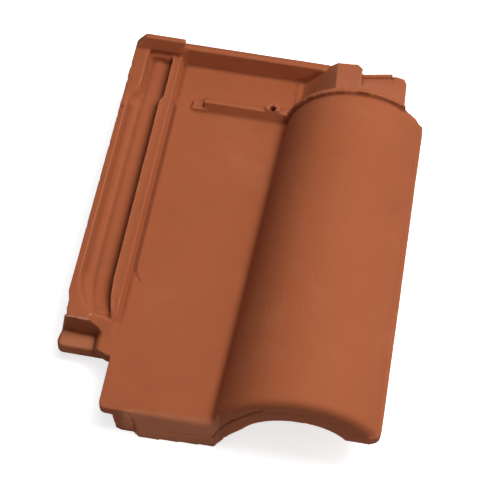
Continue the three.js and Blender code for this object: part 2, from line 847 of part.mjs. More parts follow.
// The nib under the closed end reaches up to the ramp's shell.
function nibUnderEnd() {
  const filled = (line) => line.map(([x]) => [x, -restDepth - overlap]).reverse();
  const depth = endShell / 2;
  const reach = loft(rampRings(filled)).translate([0, 0, -depth]);
  return nib(nibRollCentre, rollCrestHead).intersect(reach);
}

// A round pin standing at a place, narrower at its top.
function pin(x, y, low, high, radius, draft) {
  const upwards = new THREE.Matrix4().makeRotationX(Math.PI / 2);
  const shape = new THREE.CylinderGeometry(radius - draft, radius, high - low, nailSegments);
  return solid(shape.applyMatrix4(upwards).translate(x, y, (high + low) / 2));
}

// The boss round the nail hole is cut off along the riser's front face.
function nailBoss() {
  const boss = pin(nailX, nailY, headFloor, nailBossTop, nailBossRadius, nailBossDraft);
  const ahead = alongX([
    [rollEnd - nailBossRadius, headFloor - overlap],
    [rollEnd, headFloor - overlap],
    [rollEnd, 0],
    [rollEnd + (riserLean * nailBossTop) / riserHeight, nailBossTop],
    [rollEnd + (riserLean * nailBossTop) / riserHeight, nailBossTop + overlap],
    [rollEnd - nailBossRadius, nailBossTop + overlap],
  ], nailX - 2 * nailBossRadius, nailX + 2 * nailBossRadius);
  return boss.subtract(ahead);
}

const nailHole = () => pin(
  nailX,
  nailY,
  -bodyThickness - overlap,
  nailBossTop + overlap,
  nailDiameter / 2,
  0,
);

const clay = join(
  panAndRoll(),
  tailBand(),
  partingLedge(),
  sideLock(),
  lug().block,
  headPlate(),
  rollEndPiece(),
  coverLock(),
  nib(nibPanCentre, overlap - bodyThickness),
  nibUnderEnd(),
  nailBoss(),
).subtract(join(nailHole(), lug().groove));

function toGeometry(manifold) {
  const mesh = manifold.getMesh();
  const geometry = new THREE.BufferGeometry();
  geometry.setAttribute('position', new THREE.BufferAttribute(mesh.vertProperties, 3));
  geometry.setIndex(new THREE.BufferAttribute(mesh.triVerts, 1));
  return geometry;
}

const placed = clay.translate([
  -(tileWidth + lugLeft) / 2,
  -(tileLength - lipLeft) / 2,
  restDepth,
]);
const tile = new THREE.Mesh(
  toGeometry(placed),
  new THREE.MeshStandardMaterial({ color: 0xa85d3d, roughness: 0.85, metalness: 0 }),
);
tile.name = 'roof_tile';

const group = new THREE.Group();
group.add(tile);
export default group;
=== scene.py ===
"""Clay roof tile, pressed and fired in one piece, lying on a pale floor.

Metres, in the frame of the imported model: +X across the tile from the side lock to the
roll, +Y from the tail to the head, +Z up from the floor.
"""

import math

import bmesh
import bpy
import numpy as np
from mathutils import Euler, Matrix, Vector, kdtree, noise
from mathutils.bvhtree import BVHTree


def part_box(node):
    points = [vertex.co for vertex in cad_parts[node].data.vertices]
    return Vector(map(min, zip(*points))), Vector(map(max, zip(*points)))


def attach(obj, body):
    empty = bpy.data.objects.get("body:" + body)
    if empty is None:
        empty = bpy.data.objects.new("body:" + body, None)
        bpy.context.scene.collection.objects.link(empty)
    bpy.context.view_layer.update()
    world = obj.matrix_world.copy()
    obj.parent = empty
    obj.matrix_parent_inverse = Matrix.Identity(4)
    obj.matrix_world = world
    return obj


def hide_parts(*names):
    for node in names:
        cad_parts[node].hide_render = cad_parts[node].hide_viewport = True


MM = 0.001
NODE = "roof_tile"

# The pressing frame: X from the side lock's free edge, Y from the tail, Z from the pan's face.
PRESS_ORIGIN = Vector((136.35, 187.2, -38.0)) * MM

# ---- clay surface: all in millimetres, in the pressing frame ----
GRID = 0.9                    # mesh size at which the pressed shape is softened
SOFTEN_TURNS = 2
SOFTEN_SHARE = 0.5
FACE_LIMIT = 190000           # triangles left in the finished tile
SAME_PLACE = 1e-6             # metres; closer points become one
WAVES = (
    # (wavelength, height) of the slight unevenness of pressed clay
    (60, 0.22),
    (14, 0.09),
)

# Mould lines: corners, half width, depth.
LINES = (
    # foot of the rib
    (((48.4, 315, 0), (48.6, 136, 0), (51, 129.7, 0), (55, 123.2, 0)), 0.9, 0.9),
    # along the apron's slanted end
    (
        ((69.7, 0, -2.5), (72.9, 0.8, -12), (75.6, 0.8, -22), (78.9, -1, -31), (81.2, -3, -35)),
        1.0, 0.5,
    ),
    # across the apron
    (
        ((82.9, -1.5, -22.3), (97.9, -1.1, -23.1), (122.9, 0, -22.1), (141, 0.4, -21.2)),
        1.1, 0.4,
    ),
    # round the arch, fading out towards its crest
    (((142, 0.4, -21.2), (145.8, 0.7, -8.2), (151.3, 0.8, 5), (156.8, 0.8, 14.3)), 1.5, 1.2),
    (((156.8, 0.8, 14.3), (163, 0.9, 22), (170.7, 1, 31.9), (179.9, 1.1, 40.5)), 1.3, 0.8),
    # round the pad at the riser's left end
    (((74, 315, -0.5), (75, 328, -0.5)), 1.4, 1.6),
)

# The rib's left side stands nearly upright, and the channel is deepest at its foot.
RIB_PLACES = (84.0, 90.0, 95.0, 100.0, 105.0, 119.0, 312.0, 317.5, 363.0)   # from the tail
RIB_EDGE = (39.4, 37.6, 36.4, 35.4, 34.8, 34.0, 34.0, 36.8, 36.8)           # X of its upper edge
CHANNEL_FLOOR = (4.2, 1.4, 1.2, 1.0, 1.0, 1.0, 1.0, 1.0, 1.0)
CHANNEL_SAG = (0.0, 0.6, 1.2, 1.8, 2.2, 2.4, 2.4, 2.2, 2.2)
RIB_TOP = 9.0
RIB_RUN = 1.2                 # how far the rib's side leans
SAG_RUN = 10.0                # how far the sag reaches from the rib's foot
CHANNEL_LOWEST = -3.0         # nothing below this belongs to the channel

# The roll dips in front of its collar, all the way round.
COLLAR_FACE = 312.8           # from the tail
COLLAR_DIP = 2.1
COLLAR_DIP_REACH = 8.0
COLLAR_RIGHT = 258.0          # the dip fades out before the collar's right end
COLLAR_FADE = 5.0
COLLAR_ARC = range(54, 166, 7)            # degrees round the roll, from the right
COLLAR_CREASE = (312.5, 62.2, 1.5, 0.6)   # from the tail, radius, half width, depth
ROLL_CENTRE = (218.0, -2.0)   # X and Z of the roll's centre there
ROLL_LEFT = 152.0

# Rim along the closed end's upper edge, right of the boss.
RIM_SIDES = (214.5, 242.0)
RIM_FRONT = 361.0
RIM_LIFT = 3.0
RIM_BELOW = (5.0, 4.0)        # the lift starts this far below the edge and is full 4 higher
CORNER_FADE = 2.0
CORNER_LIFT = 1.8             # and of the corner right of the rim
CORNER_RUN = 16.0
RIM_FOOT = ((216.0, 25.0), (240.0, 30.9))     # X and Z of the edge it stands on

# Flank left of the boss on the closed end: it falls steeply from the boss to the head's floor.
BOSS_COLLAR = (193.1, 316.5, 59.98)   # the boss's left edge, at the collar and at the head
BOSS_HEAD = (190.4, 378.0, 21.6)
FLANK_START = 317.8
FLANK_FALL = 1.5              # millimetres down for each millimetre to the left
FLANK_FOOT = 162.0
FLANK_SAG = 1.2               # above 1, the flank is hollow towards its foot
FLOOR_HEIGHT = -1.0
TILE_UNDERSIDE = -11.0
HIGH_ABOVE = 200.0
UPSTAND_FOOT = 366.0          # the flank stops at the upstand, which leans back
UPSTAND_RIGHT = 184.0
UPSTAND_TOP = 16.0
UPSTAND_LEAN = 5.0

# The lug's left side draws in towards the wall behind it.
LUG_SIDE = (-3.3, -1.2)
LUG_SIDE_PLACES = (64.0, 71.0)

# Flash left standing at the lock's lower corner: corners of a small wedge.
FLASH = (
    (-1.4, 71.2, -13), (9, 71.2, -13), (9, 82, -13), (-0.6, 82, -13),
    (2.3, 71.2, 12.2), (8, 71.2, 12.2), (8, 73, 12.2), (2.3, 73, 12.2),
)

# Places that were smoothed with a wet hand: centre, half size, turns.
SMOOTH_REACH = 1.5            # in half sizes: points that far out still count as neighbours
SMOOTH_FADE = 0.35
SMOOTHED = (
    ((11, 313, 10), (12, 11, 8), 50),
    ((100, 335, 3), (30, 9, 6), 50),
    ((256, 364, 20), (10, 10, 20), 40),
    ((15, 98, 9), (9, 24, 8), 25),
    ((26, 365, 5), (11, 4, 6), 8),
    ((47, 370, 9), (5, 6, 13), 20),
    ((174, 320, 24), (24, 3, 34), 12),
)

# Chips along the edges: centre, reach, depth.
CHIP_ROUGH = (2.2, 0.35)      # wavelength and share of their ragged outline
CHIP_SHAPE = 0.8
CHIP_LIMIT = 1.4              # in reaches
CHIPS = (
    ((0.0, 346.0, 12.0), 4.0, 1.6),
    ((0.0, 329.0, 12.0), 5.0, 1.3),
    ((0.0, 252.0, 12.5), 3.2, 0.9),
    ((0.0, 214.0, 12.5), 3.0, 0.8),
    ((0.0, 163.0, 12.5), 3.4, 0.9),
    ((258.0, 315.0, 51.0), 8.0, 1.4),
    ((266.0, 314.0, 44.0), 8.0, 1.3),
    ((275.0, 313.0, 33.0), 9.0, 1.8),
    ((2.2, 295.7, 12.5), 3.4, 1.2),
    ((0.8, 286.0, 12.5), 3.0, 1.0),
    ((0.3, 280.0, 12.5), 2.6, 0.8),
    ((24.0, 71.0, 11.5), 3.6, 1.0),
    ((12.0, 71.0, 12.0), 3.0, 0.7),
    ((276.0, 120.0, 25.0), 3.5, 0.9),
    ((151.0, 0.0, -20.0), 3.0, 0.7),
)

# Thin lines and flecks made paler, partly wear and partly painted highlight: corners, half
# width.
RUBBED_AND_HIGHLIGHT_LINES = (
    (((3, 71.2, 12.2), (14, 71.2, 12.6), (24, 71.2, 11.5)), 1.2),
    (((23.2, 76.8, 12.5), (23.8, 76.8, 12.5)), 0.9),
    (((9.5, 64, -12), (9.6, 64, -12)), 0.6),
    (((68.6, 0, -2.5), (71.8, 0.8, -12), (74.5, 0.8, -22), (77.8, -1, -31)), 0.55),
    (((241.5, 361, 33), (242, 363, 33)), 1.0),
)

RUB_FADE = 1.6

# The tail's faces and the lug's top are made paler as painted light.
TAIL_FACES = 8.0              # from the tail
TAIL_SIDES = (66.0, 146.0)
LUG_BACK = 92.0
LUG_TOP = -9.0
LUG_RIGHT = 32.0
LUG_FRONT = 70.0

# How strongly a place has to face a way to count as facing it, 0 to 1.
FACING_TAIL = 0.35
FACING_UP = 0.5
# sides facing -X or -Y, away from the lamps, get painted shade from here on
STEEP_FROM = 0.45
STEEP_RUN = 0.3

# Masks: how much bend counts as a full edge or a full hollow, and turns of evening out.
EDGE_BEND = 0.1
HOLLOW_BEND = -0.05
EDGE_TURNS = 2
STEEP_TURNS = 2
HOLLOW_TURNS = 7
PALE_TURNS = 6
CHANNEL_SHADE = (1.1, 1.3)    # shape and strength of the painted shade towards the rib's foot
CHANNEL_FADE = 30.0           # from the channel's lower end
CHANNEL_TOP = 6.0

# ---- clay's looks ----
CLAY_COLOURS = {
    # as they look on a screen, 0 to 255
    "Clay": (168, 91, 55),
    # laid on also as painted light: on edges with their wear, on the tail's faces and on the
    # lug's top
    "Pale": (192, 118, 84),
    # laid on also as painted shade: in creases, in hollows, beside the rib and on sides facing
    # away from the lamps
    "BurntAndShade": (100, 44, 20),
    "RubbedAndHighlight": (222, 158, 124),
}
# Clouds of tone: size in metres, detail, roughness.
BROAD_CLOUDS = (0.09, 3.0, 0.55)
PATCHY_CLOUDS = (0.022, 4.0, 0.6)
GRAIN = (0.0014, 3.0, 0.65)
TONE_SHARES = (0.6, 0.4)      # of the broad and the patchy clouds
# How much of a colour is laid over: from and to in the mask, from and to in the share.
PALE_TONE = (0.52, 0.72, 0.0, 0.30)
BURNT_TONE = (0.46, 0.30, 0.0, 0.15)
# wear and painted highlight along edges
EDGE_WEAR_AND_HIGHLIGHT = (0.25, 0.9, 0.0, 0.65)
# painted shade in creases
CREASE_PAINTED_SHADE = (-0.25, -0.9, 0.0, 0.55)
# painted shade in hollows and in the channel beside the rib
HOLLOW_PAINTED_SHADE = (0.20, 1.0, 0.0, 0.65)
FLECKS = (0.64, 0.72, 0.0, 0.25)
# painted shade on steep sides facing away from the lamps
STEEP_PAINTED_SHADE = 0.20
# painted light on the tail's faces and the lug's top
TAIL_LUG_PAINTED_LIGHT = 0.75
ROUGHNESS = (0.3, 0.7, 0.78, 0.92)
RELIEF_SHARES = (0.55, 0.8)   # of the grain and the patchy clouds
RELIEF = {"Strength": 0.35, "Distance": 0.00035}
CLAY_SHINE = 0.25

# ---- stage ----
WHITE = (1.0, 1.0, 1.0, 1.0)
FLOOR_HALF = 4.0
FLOOR_PALE = (0.80, 0.80, 0.80, 1.0)
FLOOR_ROUGHNESS = 0.9
FLOOR_SHINE = 0.1
FLOOR_GLOW = 0.75             # shown to the camera only, so that the floor comes out white
CAMERA_PLACE = (0.08273461, -0.71115774, 1.13977443)
CAMERA_TURN = (32.7602415, -1.8274396, 9.8407905)
CAMERA_LENS = 112.5
CAMERA_SENSOR = 36.0
CAMERA_REACH = 20.0
LAMP_REACH = 1.6              # all lamps hang this far from the tile's middle
LAMP_SIZE = 0.7
LAMPS = (
    # name, degrees from +X towards +Y, degrees above the floor, watts
    ("key_lamp", 0, 68, 13.4),
    ("low_key_lamp", 0, 45, 2.2),
    ("top_lamp", 0, 90, 3.3),
    ("head_lamp", 70, 22, 4.6),
    ("high_head_lamp", 70, 68, 2.9),
    ("tail_lamp", 290, 68, 2.3),
)
SKY = 0.0                     # the sky lights nothing; it only shows white


# ---------- clay ----------
def lerp(start, end, share):
    return start + (end - start) * share


def bake_modifiers(piece):
    depsgraph = bpy.context.evaluated_depsgraph_get()
    finished = bpy.data.meshes.new_from_object(piece.evaluated_get(depsgraph))
    piece.modifiers.clear()
    old = piece.data
    piece.data = finished
    bpy.data.meshes.remove(old)


def read_places(mesh):
    """Each point's place in the pressing frame, in millimetres, and its normal."""
    points = np.empty(len(mesh.vertices) * 3, np.float32)
    mesh.vertices.foreach_get("co", points)
    normals = np.empty(len(mesh.vertices) * 3, np.float32)
    mesh.vertex_normals.foreach_get("vector", normals)
    shared = points.reshape(-1, 3).astype(float)
    return (shared + np.array(PRESS_ORIGIN)) / MM, normals.reshape(-1, 3).astype(float)


def write_places(mesh, places, low, high):
    """Puts the points back, none of them outside the solid's own box."""
    shared = places * MM - np.array(PRESS_ORIGIN)
    kept = np.clip(shared, np.array(low), np.array(high))
    mesh.vertices.foreach_set("co", kept.astype(np.float32).ravel())
    mesh.update()


def add_flash(piece):
    """Joins the small wedge of flash to the pressed form."""
    form = bmesh.new()
    origin = np.array(PRESS_ORIGIN)
    corners = [form.verts.new(np.array(corner) * MM - origin) for corner in FLASH]
    bmesh.ops.convex_hull(form, input=corners)
    mesh = bpy.data.meshes.new("flash")
    form.to_mesh(mesh)
    form.free()
    flash = bpy.data.objects.new("flash", mesh)
    bpy.context.scene.collection.objects.link(flash)
    union = piece.modifiers.new("flash", "BOOLEAN")
    union.operation = "UNION"
    union.object = flash
    bake_modifiers(piece)
    bpy.data.objects.remove(flash)
    bpy.data.meshes.remove(mesh)


def pressed_shape(node):
    """The tile's exact form on an even grid, with the soft edges that clay keeps."""
    piece = bpy.data.objects.new("clay_tile", node.data.copy())
    bpy.context.scene.collection.objects.link(piece)
    add_flash(piece)
    remesh = piece.modifiers.new("even_grid", "REMESH")
    remesh.mode = "VOXEL"
    remesh.voxel_size = GRID * MM
    smooth = piece.modifiers.new("soft_edges", "SMOOTH")
    smooth.factor = SOFTEN_SHARE
    smooth.iterations = SOFTEN_TURNS
    bake_modifiers(piece)
    return piece


def thin_out(piece):
    """Flat places keep few faces, so that edges and relief keep theirs.

    Points that fell together are then joined, so that no face is left without area.
    """
    triangles = sum(len(face.vertices) - 2 for face in piece.data.polygons)
    fewer = piece.modifiers.new("fewer_faces", "DECIMATE")
    fewer.ratio = min(1.0, FACE_LIMIT / triangles)
    bake_modifiers(piece)
    form = bmesh.new()
    form.from_mesh(piece.data)
    bmesh.ops.dissolve_degenerate(form, dist=SAME_PLACE, edges=form.edges[:])
    bmesh.ops.triangulate(form, faces=form.faces[:])
    form.to_mesh(piece.data)
    form.free()


def point_pairs(mesh):
    """The two ends of every mesh edge."""
    ends = np.empty(len(mesh.edges) * 2, np.int32)
    mesh.edges.foreach_get("vertices", ends)
    return ends.reshape(-1, 2).T


def evened(values, pairs, turns=1):
    """Averages each point's value with its neighbours'."""
    for _ in range(turns):
        total, count = values.copy(), np.ones(len(values))
        for here, there in (pairs, pairs[::-1]):
            total += np.bincount(here, values[there], len(values))
            count += np.bincount(here, minlength=len(values))
        values = total / count
    return values


def wavy(places, wavelength):
    """Slow noise between -1 and 1 at each place."""
    return np.array([noise.noise(place) for place in places / wavelength])


def waves(places, normals):
    lift = sum(height * (wavy(places, length) - 0.5) for length, height in WAVES)
    return places + normals * lift[:, None]


def along_channel(places):
    """The rib's foot beside each place, and how near the place is to it (0 to 1)."""
    x, y, z = places.T
    foot = np.interp(y, RIB_PLACES, RIB_EDGE) - RIB_RUN
    near = np.clip((x - foot + SAG_RUN) / SAG_RUN, 0, 1)
    there = (y > RIB_PLACES[0]) & (y < RIB_PLACES[-1]) & (x > foot - SAG_RUN)
    return foot, near, there & (x < foot + RIB_RUN) & (z > CHANNEL_LOWEST)


def stand_rib_up(places, normals):
    x, y, z = places.T
    foot, near, there = along_channel(places)
    sag = near * np.interp(y, RIB_PLACES, CHANNEL_SAG)
    floor = np.interp(y, RIB_PLACES, CHANNEL_FLOOR) - sag
    wall = lerp(floor, RIB_TOP, np.clip((x - foot) / RIB_RUN, 0, 1))
    upper = there & (normals[:, 2] > -0.2)
    moved = places.copy()
    moved[upper, 2] = np.minimum(z, wall)[upper]
    return moved


def dip_before_collar(places, normals):
    x, y, z = places.T
    outward = places[:, [0, 2]] - np.array(ROLL_CENTRE)
    outward /= np.linalg.norm(outward, axis=1)[:, None]
    faces_out = np.einsum("ij,ij->i", outward, normals[:, [0, 2]]) > 0.5
    share = 1.0 - (COLLAR_FACE - y) / COLLAR_DIP_REACH
    beside = np.clip((COLLAR_RIGHT - x) / COLLAR_FADE, 0, 1)
    there = (share > 0) & (share < 1) & faces_out & (x > ROLL_LEFT) & (z > 0)
    dip = np.where(there, np.clip(share, 0, 1) ** 2, 0) * COLLAR_DIP * beside
    moved = places.copy()
    moved[:, [0, 2]] -= outward * dip[:, None]
    return moved


def lift_rim(places):
    x, y, z = places.T
    (left, left_top), (right, right_top) = RIM_FOOT
    top = left_top + (x - left) * (right_top - left_top) / (right - left)
    there = (x > RIM_SIDES[0]) & (x < RIM_SIDES[1]) & (y > RIM_FRONT)
    upper = np.clip((z - top + RIM_BELOW[0]) / RIM_BELOW[1], 0, 1)
    beside = np.clip((x - RIM_SIDES[1]) / CORNER_FADE, 0, 1)
    beside *= np.clip((y - RIM_FRONT + CORNER_RUN) / CORNER_RUN, 0, 1)
    moved = places.copy()
    moved[:, 2] += upper * np.where(there, RIM_LIFT, beside * CORNER_LIFT)
    return moved


def lower_flank(places, normals, form):
    """Lowers the closed end's left flank, and the hollow under it by its share."""
    x, y, z = places.T
    along = (y - BOSS_COLLAR[1]) / (BOSS_HEAD[1] - BOSS_COLLAR[1])
    edge = BOSS_COLLAR[0] + along * (BOSS_HEAD[0] - BOSS_COLLAR[0])
    crest = BOSS_COLLAR[2] + along * (BOSS_HEAD[2] - BOSS_COLLAR[2])
    steep = crest - FLANK_FALL * (edge - x)
    run = np.clip((x - FLANK_FOOT) / (edge - FLANK_FOOT), 0, 1)
    hollow = FLOOR_HEIGHT + (crest - FLOOR_HEIGHT) * run ** FLANK_SAG
    lean = np.clip((y - UPSTAND_FOOT) / UPSTAND_LEAN, 0, 1)
    upstand = lerp(FLOOR_HEIGHT, UPSTAND_TOP, lean)
    upstand = np.where(x < UPSTAND_RIGHT, upstand, FLOOR_HEIGHT)
    target = np.maximum(np.maximum(steep, hollow), upstand)
    moved = places.copy()
    there = (y > FLANK_START) & (x < edge) & (x > ROLL_LEFT) & (z > TILE_UNDERSIDE)
    outer = (normals[:, 2] > 0.2) | ((normals[:, 0] < -0.5) & (x < FLANK_FOOT))
    over = there & outer
    moved[over, 2] = np.minimum(z[over], target[over])
    for index in np.flatnonzero(there & ~outer):
        start = Vector((x[index], y[index], HIGH_ABOVE))
        hit = form.ray_cast(start, Vector((0, 0, -1)))[0]
        if hit is not None and hit.z > target[index]:
            share = (target[index] - TILE_UNDERSIDE) / (hit.z - TILE_UNDERSIDE)
            moved[index, 2] = TILE_UNDERSIDE + (z[index] - TILE_UNDERSIDE) * share
    return moved


def draw_in_lug(places):
    first, last = LUG_SIDE_PLACES
    share = np.clip((places[:, 1] - first) / (last - first), 0, 1)
    moved = places.copy()
    moved[:, 0] = np.maximum(places[:, 0], LUG_SIDE[0] + share * (LUG_SIDE[1] - LUG_SIDE[0]))
    return moved


def smooth_places(places, pairs):
    moved = places.copy()
    for centre, half_size, turns in SMOOTHED:
        away = np.abs((moved - np.array(centre)) / np.array(half_size)).max(axis=1)
        near = np.flatnonzero(away < SMOOTH_REACH)
        number = np.full(len(places), -1)
        number[near] = np.arange(len(near))
        inside = (number[pairs] >= 0).all(axis=0)
        local = number[pairs[:, inside]]
        hold = np.clip((1.0 - away[near]) / SMOOTH_FADE, 0, 1)[:, None]
        part = moved[near]
        for _ in range(turns):
            around = np.stack([evened(part[:, axis], local) for axis in range(3)], axis=1)
            part += (around - part) * hold
        moved[near] = part
    return moved


def away_from_line(places, corners):
    """Distance from each place to a line through the given corners."""
    best = np.full(len(places), np.inf)
    for start, end in zip(corners, corners[1:]):
        along = end - start
        share = np.clip((places - start) @ along / (along @ along), 0.0, 1.0)
        best = np.minimum(best, np.linalg.norm(places - start - share[:, None] * along, axis=1))
    return best


def collar_crease():
    """The line round the collar's foot."""
    from_tail, radius, half_width, depth = COLLAR_CREASE
    across, up = ROLL_CENTRE
    turns = [math.radians(degrees) for degrees in COLLAR_ARC]
    arc = [
        (across + radius * math.cos(turn), from_tail, up + radius * math.sin(turn))
        for turn in turns
    ]
    return arc, half_width, depth


def press_lines(places, normals):
    moved = places.copy()
    for corners, half_width, depth in (*LINES, collar_crease()):
        away = away_from_line(places, np.array(corners, float)) / half_width
        near = np.flatnonzero(away < 1.0)
        moved[near] -= normals[near] * ((1.0 - away[near] ** 2) * depth)[:, None]
    return moved


def chip_edges(places, normals):
    """Small breaks along the edges: clay goes from the edge inward."""
    moved = places.copy()
    wavelength, share = CHIP_ROUGH
    for centre, reach, depth in CHIPS:
        away = np.linalg.norm(places - np.array(centre), axis=1) / reach
        near = np.flatnonzero(away < CHIP_LIMIT)
        rough = wavy(places[near], wavelength) * share
        bite = np.clip(1.0 - away[near] - rough, 0.0, 1.0) ** CHIP_SHAPE
        moved[near] -= normals[near] * (bite * depth)[:, None]
    return moved


def surface_masks(mesh):
    """Masks at each point of the grid for wear, painted light and painted shade: edges (wear and
    painted highlight), creases and hollows (painted shade), rubbed lines (wear and painted
    highlight), the tail and the lug (painted light) and steep sides facing away from the lamps
    (painted shade).

    The edge mask is 1 along sharp edges and -1 in corners. The others run from 0 to 1.
    """
    places, normals = read_places(mesh)
    x, y, z = places.T
    pairs = point_pairs(mesh)
    around = np.stack([evened(places[:, axis], pairs) for axis in range(3)], axis=1)
    bend = np.einsum("ij,ij->i", places - around, normals) / GRID
    # The edge mask carries wear and painted highlight along edges, and painted shade in creases.
    edge = np.clip(evened(bend, pairs, EDGE_TURNS) / EDGE_BEND, -1, 1)

    # Painted shade in hollows and in the channel beside the rib.
    hollow = np.clip(evened(bend, pairs, HOLLOW_TURNS) / HOLLOW_BEND, 0, 1)
    _, near, there = along_channel(places)
    fade = np.clip((y - RIB_PLACES[0]) / CHANNEL_FADE, 0, 1)
    shape, strength = CHANNEL_SHADE
    channel_painted_shade = np.where(there & (z < CHANNEL_TOP), near ** shape * fade, 0)
    hollow = np.maximum(hollow, channel_painted_shade * strength)

    # Paler lines and flecks: partly wear, partly painted highlight.
    rubbed_and_highlight = np.zeros(len(places))
    for corners, half_width in RUBBED_AND_HIGHLIGHT_LINES:
        away = away_from_line(places, np.array(corners, float))
        share = np.clip(RUB_FADE - RUB_FADE * away / half_width, 0, 1)
        rubbed_and_highlight = np.maximum(rubbed_and_highlight, share)

    # Tail faces and the lug's top: painted light.
    tail = (y < TAIL_FACES) & (normals[:, 1] < -FACING_TAIL)
    tail &= (x > TAIL_SIDES[0]) & (x < TAIL_SIDES[1])
    lug = (y < LUG_BACK) & (z < LUG_TOP) & (x < LUG_RIGHT)
    tail_lug_painted_light = tail | lug & (normals[:, 2] > FACING_UP)
    tail_lug_painted_light = evened(tail_lug_painted_light.astype(float), pairs, PALE_TURNS)

    # Steep sides facing -X or -Y, away from the lamps: painted shade.
    facing = np.maximum(-normals[:, 0], -normals[:, 1])
    steep = np.clip((facing - STEEP_FROM) / STEEP_RUN, 0, 1)
    steep = evened(steep * ~(tail | lug & (y < LUG_FRONT)), pairs, STEEP_TURNS)
    return places, {
        "edge": edge, "hollow": hollow, "rubbed_and_highlight": rubbed_and_highlight, "tail_lug_painted_light": tail_lug_painted_light, "steep": steep,
    }


def carry_masks(mesh, places, masks):
    """Carries the masks over to the finished mesh, from the nearest point of the grid."""
    finder = kdtree.KDTree(len(places))
    for index, place in enumerate(places):
        finder.insert(place, index)
    finder.balance()
    here, _ = read_places(mesh)
    nearest = np.array([finder.find(place)[1] for place in here])
    for name, mask in masks.items():
        layer = mesh.attributes.new(name, "FLOAT", "POINT")
        layer.data.foreach_set("value", mask[nearest].astype(np.float32))


def make_tile(node, low, high):
    form = bmesh.new()
    form.from_mesh(node.data)
    for vertex in form.verts:
        vertex.co = (vertex.co + PRESS_ORIGIN) / MM
    tops = BVHTree.FromBMesh(form)
    form.free()

    piece = pressed_shape(node)
    mesh = piece.data
    pairs = point_pairs(mesh)
    places, normals = read_places(mesh)
    places = stand_rib_up(places, normals)
    places = dip_before_collar(places, normals)
    places = lower_flank(places, normals, tops)
    places = lift_rim(places)
    places = draw_in_lug(places)
    places = smooth_places(places, pairs)
    write_places(mesh, places, low, high)
    for work in (press_lines, chip_edges, waves):
        places, normals = read_places(mesh)
        write_places(mesh, work(places, normals), low, high)
    places, masks = surface_masks(mesh)

    thin_out(piece)
    mesh = piece.data
    write_places(mesh, read_places(mesh)[0], low, high)
    carry_masks(mesh, places, masks)
    mesh.polygons.foreach_set("use_smooth", np.ones(len(mesh.polygons), bool))
    mesh.update()
    return piece


# ---------- materials ----------
def add_node(tree, kind, values=(), **settings):
    node = tree.nodes.new(kind)
    for name, value in settings.items():
        setattr(node, name, value)
    for socket, value in dict(values).items():
        node.inputs[socket].default_value = value
    return node


def fill(tree, socket, value):
    """Links a socket to another one, or sets its number."""
    if isinstance(value, bpy.types.NodeSocket):
        tree.links.new(value, socket)
    else:
        socket.default_value = value


def math_node(tree, operation, first, second):
    node = add_node(tree, "ShaderNodeMath", operation=operation)
    fill(tree, node.inputs[0], first)
    fill(tree, node.inputs[1], second)
    return node.outputs[0]


def mix_colours(tree, share, first, second):
    node = add_node(tree, "ShaderNodeMix", data_type="RGBA")
    for place, value in ((0, share), (6, first), (7, second)):
        fill(tree, node.inputs[place], value)
    return node.outputs[2]


def remap(tree, value, from_low, from_high, to_low, to_high):
    node = add_node(tree, "ShaderNodeMapRange")
    for socket, number in zip(node.inputs[1:5], (from_low, from_high, to_low, to_high)):
        socket.default_value = number
    tree.links.new(value, node.inputs[0])
    return node.outputs[0]


def cloud(tree, where, size, detail, rough):
    values = {"Scale": 1.0 / size, "Detail": detail, "Roughness": rough}
    node = add_node(tree, "ShaderNodeTexNoise", values)
    tree.links.new(where, node.inputs["Vector"])
    return node.outputs["Fac"]


def colour(red, green, blue):
    """A colour written as it looks on a screen, 0 to 255, in the renderer's own numbers."""
    def straight(level):
        share = level / 255
        return share / 12.92 if share <= 0.04045 else ((share + 0.055) / 1.055) ** 2.4
    return (straight(red), straight(green), straight(blue), 1.0)


